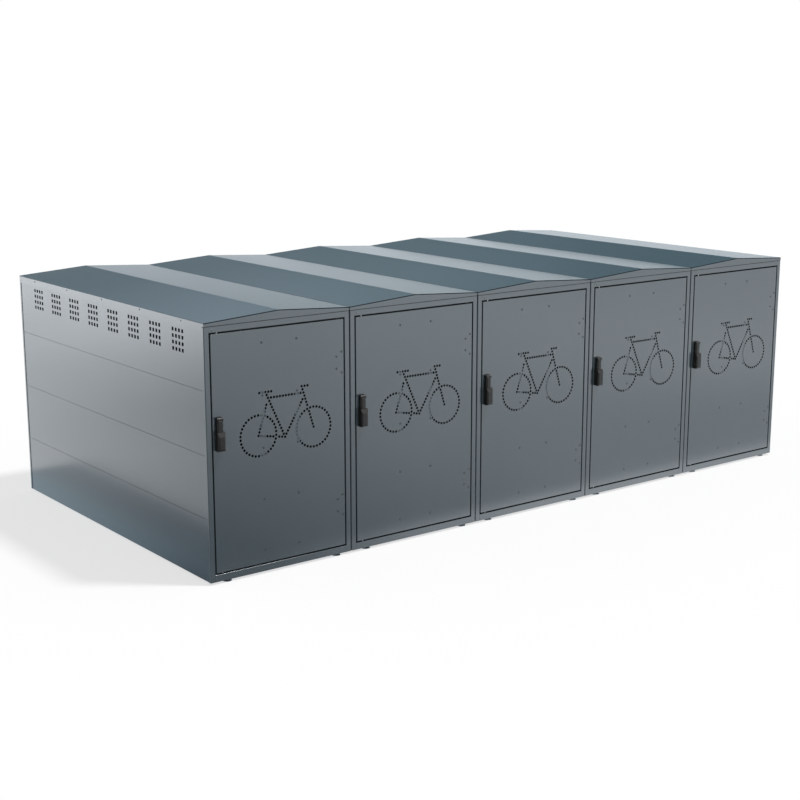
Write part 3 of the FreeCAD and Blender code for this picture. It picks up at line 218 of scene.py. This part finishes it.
def zinc(name, colour, roughness=0.38):
    """Galvanised or plated steel: crystal spangle and rubbed gloss."""
    shader = Shader(name, Metallic=1.0)
    cells = shader.node("ShaderNodeTexVoronoi", {"Vector": shader.place, "Scale": 90.0})
    grey = shader.node("ShaderNodeSeparateColor", {"Color": cells.outputs["Color"]}).outputs[0]
    shader.link(shader.mixed(grey, shade(colour, 0.86), shade(colour, 1.1)), "Base Color")
    rubbed = shader.noise(scale=40.0, detail=4.0)
    shader.link(shader.spread(rubbed, roughness - 0.08, roughness + 0.1), "Roughness")
    grain = shader.noise(scale=700.0)
    shader.link(shader.bump(grain, strength=0.15, distance=0.0002), "Normal")
    return shader.material


def turned_metal(name, colour, roughness=0.2):
    """Plated round stock: fine lengthwise drawing marks."""
    shader = Shader(name, Metallic=1.0)
    drawn = shader.noise(scale=900.0, stretch=(1, 1, 0.02))
    shader.link(shader.mixed(drawn, shade(colour, 0.85), shade(colour, 1.1)), "Base Color")
    shader.link(shader.spread(drawn, roughness - 0.06, roughness + 0.1), "Roughness")
    shader.link(shader.bump(drawn, strength=0.12, distance=0.0002), "Normal")
    return shader.material


def moulded(name, colour, roughness=0.36):
    """Moulded black plastic: spark-eroded grain, with patches slightly polished."""
    shader = Shader(name, IOR=1.5)
    worn = shader.noise(scale=30.0, detail=3.0)
    shader.link(shader.mixed(shader.spread(worn, 0.0, 1.0), shade(colour, 0.85),
                             shade(colour, 1.3)), "Base Color")
    shader.link(shader.spread(worn, roughness - 0.07, roughness + 0.1), "Roughness")
    grain = shader.noise(scale=1500.0, detail=1.0)
    shader.link(shader.bump(grain, strength=0.25, distance=0.0003), "Normal")
    return shader.material


def rubber(name, colour):
    """Extruded seal rubber: matt, with a faint bloom."""
    shader = Shader(name)
    bloom = shader.noise(scale=60.0, detail=4.0)
    shader.link(shader.mixed(shader.spread(bloom, 0.0, 1.0), shade(colour, 0.8),
                             shade(colour, 1.6)), "Base Color")
    shader.link(shader.spread(bloom, 0.7, 0.85), "Roughness")
    grain = shader.noise(scale=800.0)
    shader.link(shader.bump(grain, strength=0.3, distance=0.0003), "Normal")
    return shader.material


COAT = (0.042, 0.062, 0.075)
MATERIALS = {
    "frame_paint": paint("frame_paint", COAT),
    "door_paint": paint("door_paint", COAT, waviness=0.0002),
    "stiffener_paint": paint("stiffener_paint", COAT, 0.30, ior=1.58),
    "wall_paint": paint("wall_paint", COAT, waviness=0.0003),
    # The roof's paint: a painted dark reflection along the fold at the top of each fascia
    "roof_paint": paint("roof_paint", COAT, 0.17, uneven=0.003, fold=roof_fold_painted_reflection,
                        painted_fold_tone=shade(COAT, 0.25)),
    "galvanised_steel": zinc("galvanised_steel", (0.56, 0.58, 0.60)),
    "hinge_steel": zinc("hinge_steel", (0.50, 0.51, 0.53), 0.3),
    "rod_steel": turned_metal("rod_steel", (0.50, 0.51, 0.52), 0.26),
    "rivet_metal": paint("rivet_metal", COAT, 0.3),
    "seal_rubber": rubber("seal_rubber", (0.014, 0.014, 0.015)),
    "handle_black": moulded("handle_black", (0.0060, 0.0056, 0.0054), 0.42),
    "lock_chrome": turned_metal("lock_chrome", (0.06, 0.06, 0.06), 0.36),
}
# The sills' paint: a painted highlight along the fold of the first sill
PAINTED_HIGHLIGHT_SILL = paint("sill_painted_highlight", COAT, fold=sill_fold_painted_highlight, painted_fold_tone=(0.42, 0.44, 0.46, 1.0))
BLACKED_SCREW = turned_metal("blacked_screw", (0.075, 0.078, 0.081), 0.4)
# The door rivets' heads: a darker coat than the door's, painted shade for the shade at the rivets
DULL_RIVET_PAINTED_SHADE = paint("dull_rivet_painted_shade", shade(COAT, 0.6)[:3], 0.52, ior=1.52)

for entry in frame["record"]["subparts"]:
    node = NODES[entry["node"]]
    material = MATERIALS[entry["material_slot"]]
    # The sills take the paint with the painted highlight
    if entry["node"] == "front_sills":
        material = PAINTED_HIGHLIGHT_SILL
    if not node.material_slots:
        node.data.materials.append(material)
    for slot in node.material_slots:
        slot.material = material


# Small fasteners

def add_piece(name, made, material, body, smooth=False):
    """Turn a bmesh into a piece of its own that rides on a body."""
    bmesh.ops.recalc_face_normals(made, faces=made.faces)
    mesh = bpy.data.meshes.new(name)
    made.to_mesh(mesh)
    made.free()
    if smooth:
        mesh.shade_smooth()
    mesh.materials.append(material)
    piece = bpy.data.objects.new(name, mesh)
    bpy.context.scene.collection.objects.link(piece)
    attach(piece, body)


def turned_heads(name, profile, places, body, material, sides=20):
    """Many equal heads in one mesh, turned about -Y from radii and heights in front of the face."""
    made = bmesh.new()
    for place in places:
        rings = []
        for radius, height in profile:
            centre = place + Vector((0, -height, 0))
            if radius == 0:
                rings.append([made.verts.new(centre)])
                continue
            turns = [2 * math.pi * side / sides for side in range(sides)]
            rings.append([
                made.verts.new(centre + radius * Vector((math.cos(turn), 0, math.sin(turn))))
                for turn in turns
            ])
        for outer, inner in zip(rings, rings[1:]):
            for side in range(sides):
                after = (side + 1) % sides
                if len(inner) == 1:
                    made.faces.new((outer[side], outer[after], inner[0]))
                else:
                    made.faces.new((outer[side], outer[after], inner[after], inner[side]))
    add_piece(name, made, material, body, smooth=True)


# Radii, each with its height in front of the face
RIVET_HEAD = [(0.0058, -0.0002), (0.0058, 0.0002), (0.0052, 0.0008), (0.0040, 0.0013),
              (0.0021, 0.0016), (0, 0.0017)]
SCREW_HEAD = [(0.0052, -0.0002), (0.0052, 0.0004), (0.0048, 0.0010), (0.0036, 0.0016),
              (0.0022, 0.0019), (0.0019, 0.0006), (0, 0.0006)]

for bay in BAYS:
    rivet_places = [
        in_bay(bay, DOOR_MIDDLE_X + side * STIFFENER_OFFSET,
               DOOR_MIDDLE_Z + step * DOOR_RIVET_PITCH)
        for side in (-1, 1)
        for step in range(-2, 3)
    ]
    turned_heads(f"door_rivets_{bay}", RIVET_HEAD, rivet_places, f"door_{bay}",
                 DULL_RIVET_PAINTED_SHADE)
    screw_places = [
        in_bay(bay, x, DOOR_MIDDLE_Z + side * HINGE_OFFSET + rise)
        for side in (-1, 1)
        for x, rise in HINGE_SCREWS
    ]
    turned_heads(f"hinge_screws_{bay}", SCREW_HEAD, screw_places, f"door_{bay}",
                 BLACKED_SCREW)
turned_heads("frame_rivets", RIVET_HEAD, [in_bay(bay, *FRAME_RIVET) for bay in BAYS],
             "bank", MATERIALS["rivet_metal"])


# Seal strips between the front frames and the roof caps

# Outlines, each corner with its distance behind the front and its height
STRIP = [(0.0017, 1.2303), (0.0060, 1.2303), (0.0068, 1.2312), (0.0068, 1.2410), (0.0056, 1.2425),
         (0.0034, 1.2432), (0.0017, 1.2425)]
STRIP_TAIL = [(0.0021, 1.2210), (0.0044, 1.2210), (0.0050, 1.2216), (0.0050, 1.2303),
              (0.0021, 1.2303)]
STRIP_ENDS = (0.003, 0.812)
TAIL_ENDS = (0.030, 0.785)


def seal_strip(bay):
    """Rubber behind the open line over the header, with a tail down the header's back."""
    made = bmesh.new()
    for outline, ends in ((STRIP, STRIP_ENDS), (STRIP_TAIL, TAIL_ENDS)):
        rings = [[made.verts.new(in_bay(bay, x, z, y)) for y, z in outline] for x in ends]
        for ring in rings:
            made.faces.new(ring)
        for index in range(len(outline)):
            after = (index + 1) % len(outline)
            made.faces.new((rings[0][index], rings[0][after], rings[1][after], rings[1][index]))
    add_piece(f"roof_seal_{bay}", made, MATERIALS["seal_rubber"], "bank")


for bay in BAYS:
    seal_strip(bay)


# Floor, light and camera

def stage_plane(name, size, matrix, material, camera=True, diffuse=True, shadow=True):
    """A plane that belongs to the studio and not to the part."""
    made = bmesh.new()
    bmesh.ops.create_grid(made, x_segments=1, y_segments=1, size=0.5)
    mesh = bpy.data.meshes.new(name)
    made.to_mesh(mesh)
    made.free()
    mesh.transform(matrix @ Matrix.Diagonal((size[0], size[1], 1, 1)))
    mesh.materials.append(material)
    plane = bpy.data.objects.new(name, mesh)
    plane.visible_camera = camera
    plane.visible_diffuse = diffuse
    plane.visible_shadow = shadow
    bpy.context.scene.collection.objects.link(plane)


class Stage(Shader):
    """A floor or card material whose glow is painted reflection light: it looks uneven in
    reflections alone, as a studio does, and the floor's holds a painted shadow.

    The stops of its ramps are how bright a place looks in a reflection, where 1 is white. They
    are fitted to tones measured in the photo, on the doors, the left wall and the roofs, and
    listed here. They show in reflections alone, and no piece's material holds them.
    """

    def __init__(self, name):
        super().__init__(name)
        self.rays = self.node("ShaderNodeLightPath").outputs

    def ramp(self, value, stops):
        """Greys or colours along a value, each given as a place and its brightness."""
        places = [place for place, _ in stops]
        made = self.node("ShaderNodeValToRGB", {
            "Fac": self.spread(value, 0.0, 1.0, places[0], places[-1])})
        elements = made.color_ramp.elements
        while len(elements) < len(stops):
            elements.new(0.5)
        span = places[-1] - places[0]
        for element, (place, light) in zip(elements, stops):
            colour = light if isinstance(light, tuple) else (light, light, light)
            element.position = (place - places[0]) / span
            element.color = tuple(channel / BRIGHTEST for channel in colour) + (1.0,)
        return made.outputs["Color"]

    def inside(self, value, low, high):
        """One where a value has passed from low to high, with a soft edge."""
        return self.node("ShaderNodeMapRange", {
            "Value": value, "From Min": low, "From Max": high},
            interpolation_type="SMOOTHSTEP").outputs[0]

    def glow(self, colour, strength=1.0):
        return self.node("ShaderNodeEmission", {
            "Color": colour, "Strength": strength}).outputs[0]

    def finish(self, surface):
        self.tree.nodes.remove(self.bsdf)
        self.tree.links.new(surface, self.tree.nodes["Material Output"].inputs["Surface"])
        return self.material


# What the highest colour of a ramp stands for, and how much of the floor the camera sees as glow
BRIGHTEST = 3.6
FLOOR_LIFT = 0.66
FLOOR_SIZE = (60, 60)
CARD_SIZE = (44, 14.6)
CARD_PLACE = (3, 12, 7.3)
COOL = (0.96, 1.0, 1.04, 1)
# The bank's painted shadow on the floor, for reflections: its sides, and a corner cut off by a
# slanted line
SHADOW_LEFT = -2.565
SHADOW_RIGHT = 1.535
SHADOW_REAR = 1.48
SHADOW_CORNER = -2.05
SHADOW_SLANT = 1.21
SHADOW_SOFTNESS = 0.06


def mirrored_before(stage, across, along):
    """The floor in front of the bank as the doors mirror it, dim at the left."""
    near = stage.ramp(across, [
        (-2.2, 0.22), (-1.58, 0.30), (-1.26, 0.42), (-0.7, 0.57), (-0.3, 0.67), (0.2, 0.83),
        (0.6, 0.92), (1.1, 0.99), (3.0, 0.98)])
    far = stage.ramp(across, [
        (-2.2, 0.30), (-0.5, 0.70), (0.4, 0.95), (1.4, 1.05), (2.2, 1.18), (3.0, 1.28),
        (3.8, 1.40), (4.6, 1.45), (5.5, 1.40), (6.2, 1.33), (7.2, 1.26), (8.0, 1.23)])
    strip = stage.ramp(across, [
        (-1.6, 0.08), (-1.2, 0.30), (-0.7, 0.72), (0.1, 0.92), (1.0, 0.82), (1.8, 0.68),
        (3.0, 0.60)])
    open_floor = stage.mixed(stage.inside(along, -1.8, -3.6), near, far)
    return stage.mixed(stage.inside(along, -1.34, -1.125), open_floor, strip, "ADD")


def mirrored_beside(stage, across, along):
    """The lit floor beside and behind the bank as the left wall mirrors it."""
    outer = stage.ramp(along, [
        (0.5, 0.30), (1.5, 0.20), (2.2, 0.25), (2.8, 0.59), (3.4, 1.19), (4.3, 1.76),
        (5.0, 2.30), (5.6, 2.75), (6.3, 2.80), (8.0, 2.95), (9.7, 3.20)])
    inner = stage.ramp(along, [
        (-0.5, 1.00), (0.5, 1.25), (1.5, 1.65), (2.8, 1.82), (3.4, 1.82), (4.3, 1.70),
        (5.0, 1.43), (5.6, 1.45), (6.3, 1.00), (7.1, 0.35), (8.0, 0.30)])
    beside = stage.mixed(stage.spread(across, 0.0, 1.0, -5.7, -2.3), outer, inner)
    white = shade((1, 1, 1), 1 / BRIGHTEST)
    return stage.mixed(stage.inside(across, -2.1, -1.4), beside, white)


def mirrored_shadow(stage, across, along):
    """Painted shadow: the floor at the left wall's foot as the wall mirrors it, a little lighter
    close to the wall.
    """
    open_shade = stage.ramp(along, [(-0.8, (0.20, 0.22, 0.25)), (1.3, (0.69, 0.73, 0.75))])
    bounce = stage.ramp(across, [
        (-2.5, 0.0), (-2.33, 0.07), (-2.23, 0.18), (-2.15, 0.30), (-2.05, 0.36)])
    bounce = stage.mixed(1.0, bounce, (0.65, 1.0, 1.2, 1), "MULTIPLY")
    reach = stage.ramp(along, [(-0.9, 0.3 * BRIGHTEST), (-0.4, 0.75 * BRIGHTEST), (0.4, BRIGHTEST)])
    return stage.mixed(1.0, open_shade, stage.mixed(1.0, bounce, reach, "MULTIPLY"), "ADD")


def shadow_outline(stage, across, along):
    """One on the floor under the bank's painted shadow, with a soft edge."""
    soft = SHADOW_SOFTNESS
    behind_front = stage.maths("SUBTRACT", along, FRONT)
    slanted = stage.maths("MULTIPLY_ADD", behind_front, SHADOW_SLANT, across)
    covered = stage.inside(across, SHADOW_LEFT - soft, SHADOW_LEFT + soft)
    for edge in (
            stage.inside(slanted, SHADOW_CORNER - soft, SHADOW_CORNER + soft),
            stage.inside(across, SHADOW_RIGHT + soft, SHADOW_RIGHT - soft),
            stage.inside(along, SHADOW_REAR + soft, SHADOW_REAR - soft)):
        covered = stage.maths("MULTIPLY", covered, edge)
    return covered


def floor_material():
    """Pale matt floor, lifted to white where the camera sees it, with its shadow kept; glossy rays
    see instead a glow of painted reflection light, with a painted shadow.
    """
    stage = Stage("floor_pale")
    across, along, _ = stage.axes()
    behind = stage.mixed(shadow_outline(stage, across, along),
                         mirrored_beside(stage, across, along),
                         mirrored_shadow(stage, across, along))
    mirrored = stage.mixed(stage.inside(along, FRONT - 0.02, FRONT + 0.02),
                           mirrored_before(stage, across, along), behind)
    mirrored = stage.mixed(1.0, mirrored, COOL, "MULTIPLY")
    matt = stage.node("ShaderNodeBsdfDiffuse", {"Color": (0.93, 0.93, 0.93, 1)}).outputs[0]
    seen = stage.maths("MULTIPLY", stage.rays["Is Camera Ray"], FLOOR_LIFT)
    direct = stage.either(seen, matt, stage.glow((1, 1, 1, 1)))
    # Glossy rays see a glow of painted reflection light, with the bank's painted shadow
    return stage.finish(stage.either(stage.rays["Is Glossy Ray"], direct,
                                     stage.glow(mirrored, BRIGHTEST)))


def backdrop_material():
    """What the roof mirrors behind the bank: pale low down, a dark band, and pale again above."""
    stage = Stage("backdrop_band")
    across, _, height = stage.axes()
    low = stage.ramp(height, [
        (0.0, (0.98, 1.07, 1.13)), (1.7, (0.98, 1.07, 1.13)), (2.1, (0.86, 0.94, 1.00)),
        (2.5, (0.72, 0.80, 0.85)), (2.9, (0.40, 0.47, 0.52)), (3.4, (0.03, 0.08, 0.11)),
        (3.7, (0.03, 0.09, 0.12)), (4.2, (0.06, 0.13, 0.16))])
    dimmer_left = stage.ramp(across, [(5.0, 0.84 * BRIGHTEST), (9.0, BRIGHTEST)])
    above = stage.ramp(across, [
        (4.0, 0.46), (5.4, 0.45), (8.0, 0.27), (10.5, 0.17), (13.0, 0.08), (16.0, 0.05)])
    above = stage.mixed(1.0, above, (0.87, 0.98, 1.12, 1), "MULTIPLY")
    band = stage.mixed(1.0, low, dimmer_left, "MULTIPLY")
    light = stage.mixed(stage.inside(height, 3.5, 4.9), band, above, "ADD")
    return stage.finish(stage.glow(light, BRIGHTEST))


stage_plane("floor", FLOOR_SIZE, Matrix.Identity(4), floor_material())
upright = Matrix.Rotation(math.radians(90), 4, "X")
stage_plane("back_card", CARD_SIZE, Matrix.Translation(CARD_PLACE) @ upright,
            backdrop_material(), camera=False, diffuse=False, shadow=False)

world = bpy.data.worlds.new("studio")
bpy.context.scene.world = world
world.use_nodes = True
sky = Nodes(world.node_tree)
sky.tree.nodes.clear()
rays = sky.node("ShaderNodeLightPath").outputs
shown = sky.maths("MAXIMUM", rays["Is Camera Ray"], rays["Is Glossy Ray"])
seen = sky.maths("MAXIMUM", shown, rays["Is Transmission Ray"])
ambient = sky.node("ShaderNodeBackground", {"Color": (0.97, 0.99, 1, 1), "Strength": 0.45})
backdrop = sky.node("ShaderNodeBackground", {"Color": (1, 1, 1, 1)})
sky.node("ShaderNodeOutputWorld", {
    "Surface": sky.either(seen, ambient.outputs[0], backdrop.outputs[0])})

KEY_DIRECTION = (-0.52, 0.43, -1.262)
key = bpy.data.lights.new("key", "SUN")
key.energy = 2.3
key.angle = math.radians(7)
key_light = bpy.data.objects.new("key", key)
key_light.rotation_mode = "QUATERNION"
key_light.rotation_quaternion = Vector(KEY_DIRECTION).to_track_quat("-Z", "Y")
bpy.context.scene.collection.objects.link(key_light)

# The camera was fitted to the bank's lines in the photo; its focal length is in photo pixels
PHOTO_WIDTH = 800
FOCAL_LENGTH = 1468.45
LOOKING_DOWN = 0.21745
LEANING = 0.00079
TURNED_RIGHT = 0.64899
camera_data = bpy.data.cameras.new("photo_camera")
camera_data.sensor_width = 36.0
camera_data.lens = FOCAL_LENGTH / PHOTO_WIDTH * camera_data.sensor_width
camera_data.clip_end = 100.0
camera = bpy.data.objects.new("photo_camera", camera_data)
camera.location = (-5.3299, -6.8377, 2.3661)
camera.rotation_euler = (math.pi / 2 - LOOKING_DOWN, LEANING, -TURNED_RIGHT)
bpy.context.scene.collection.objects.link(camera)
bpy.context.scene.camera = camera
bpy.context.scene.view_settings.view_transform = "Standard"
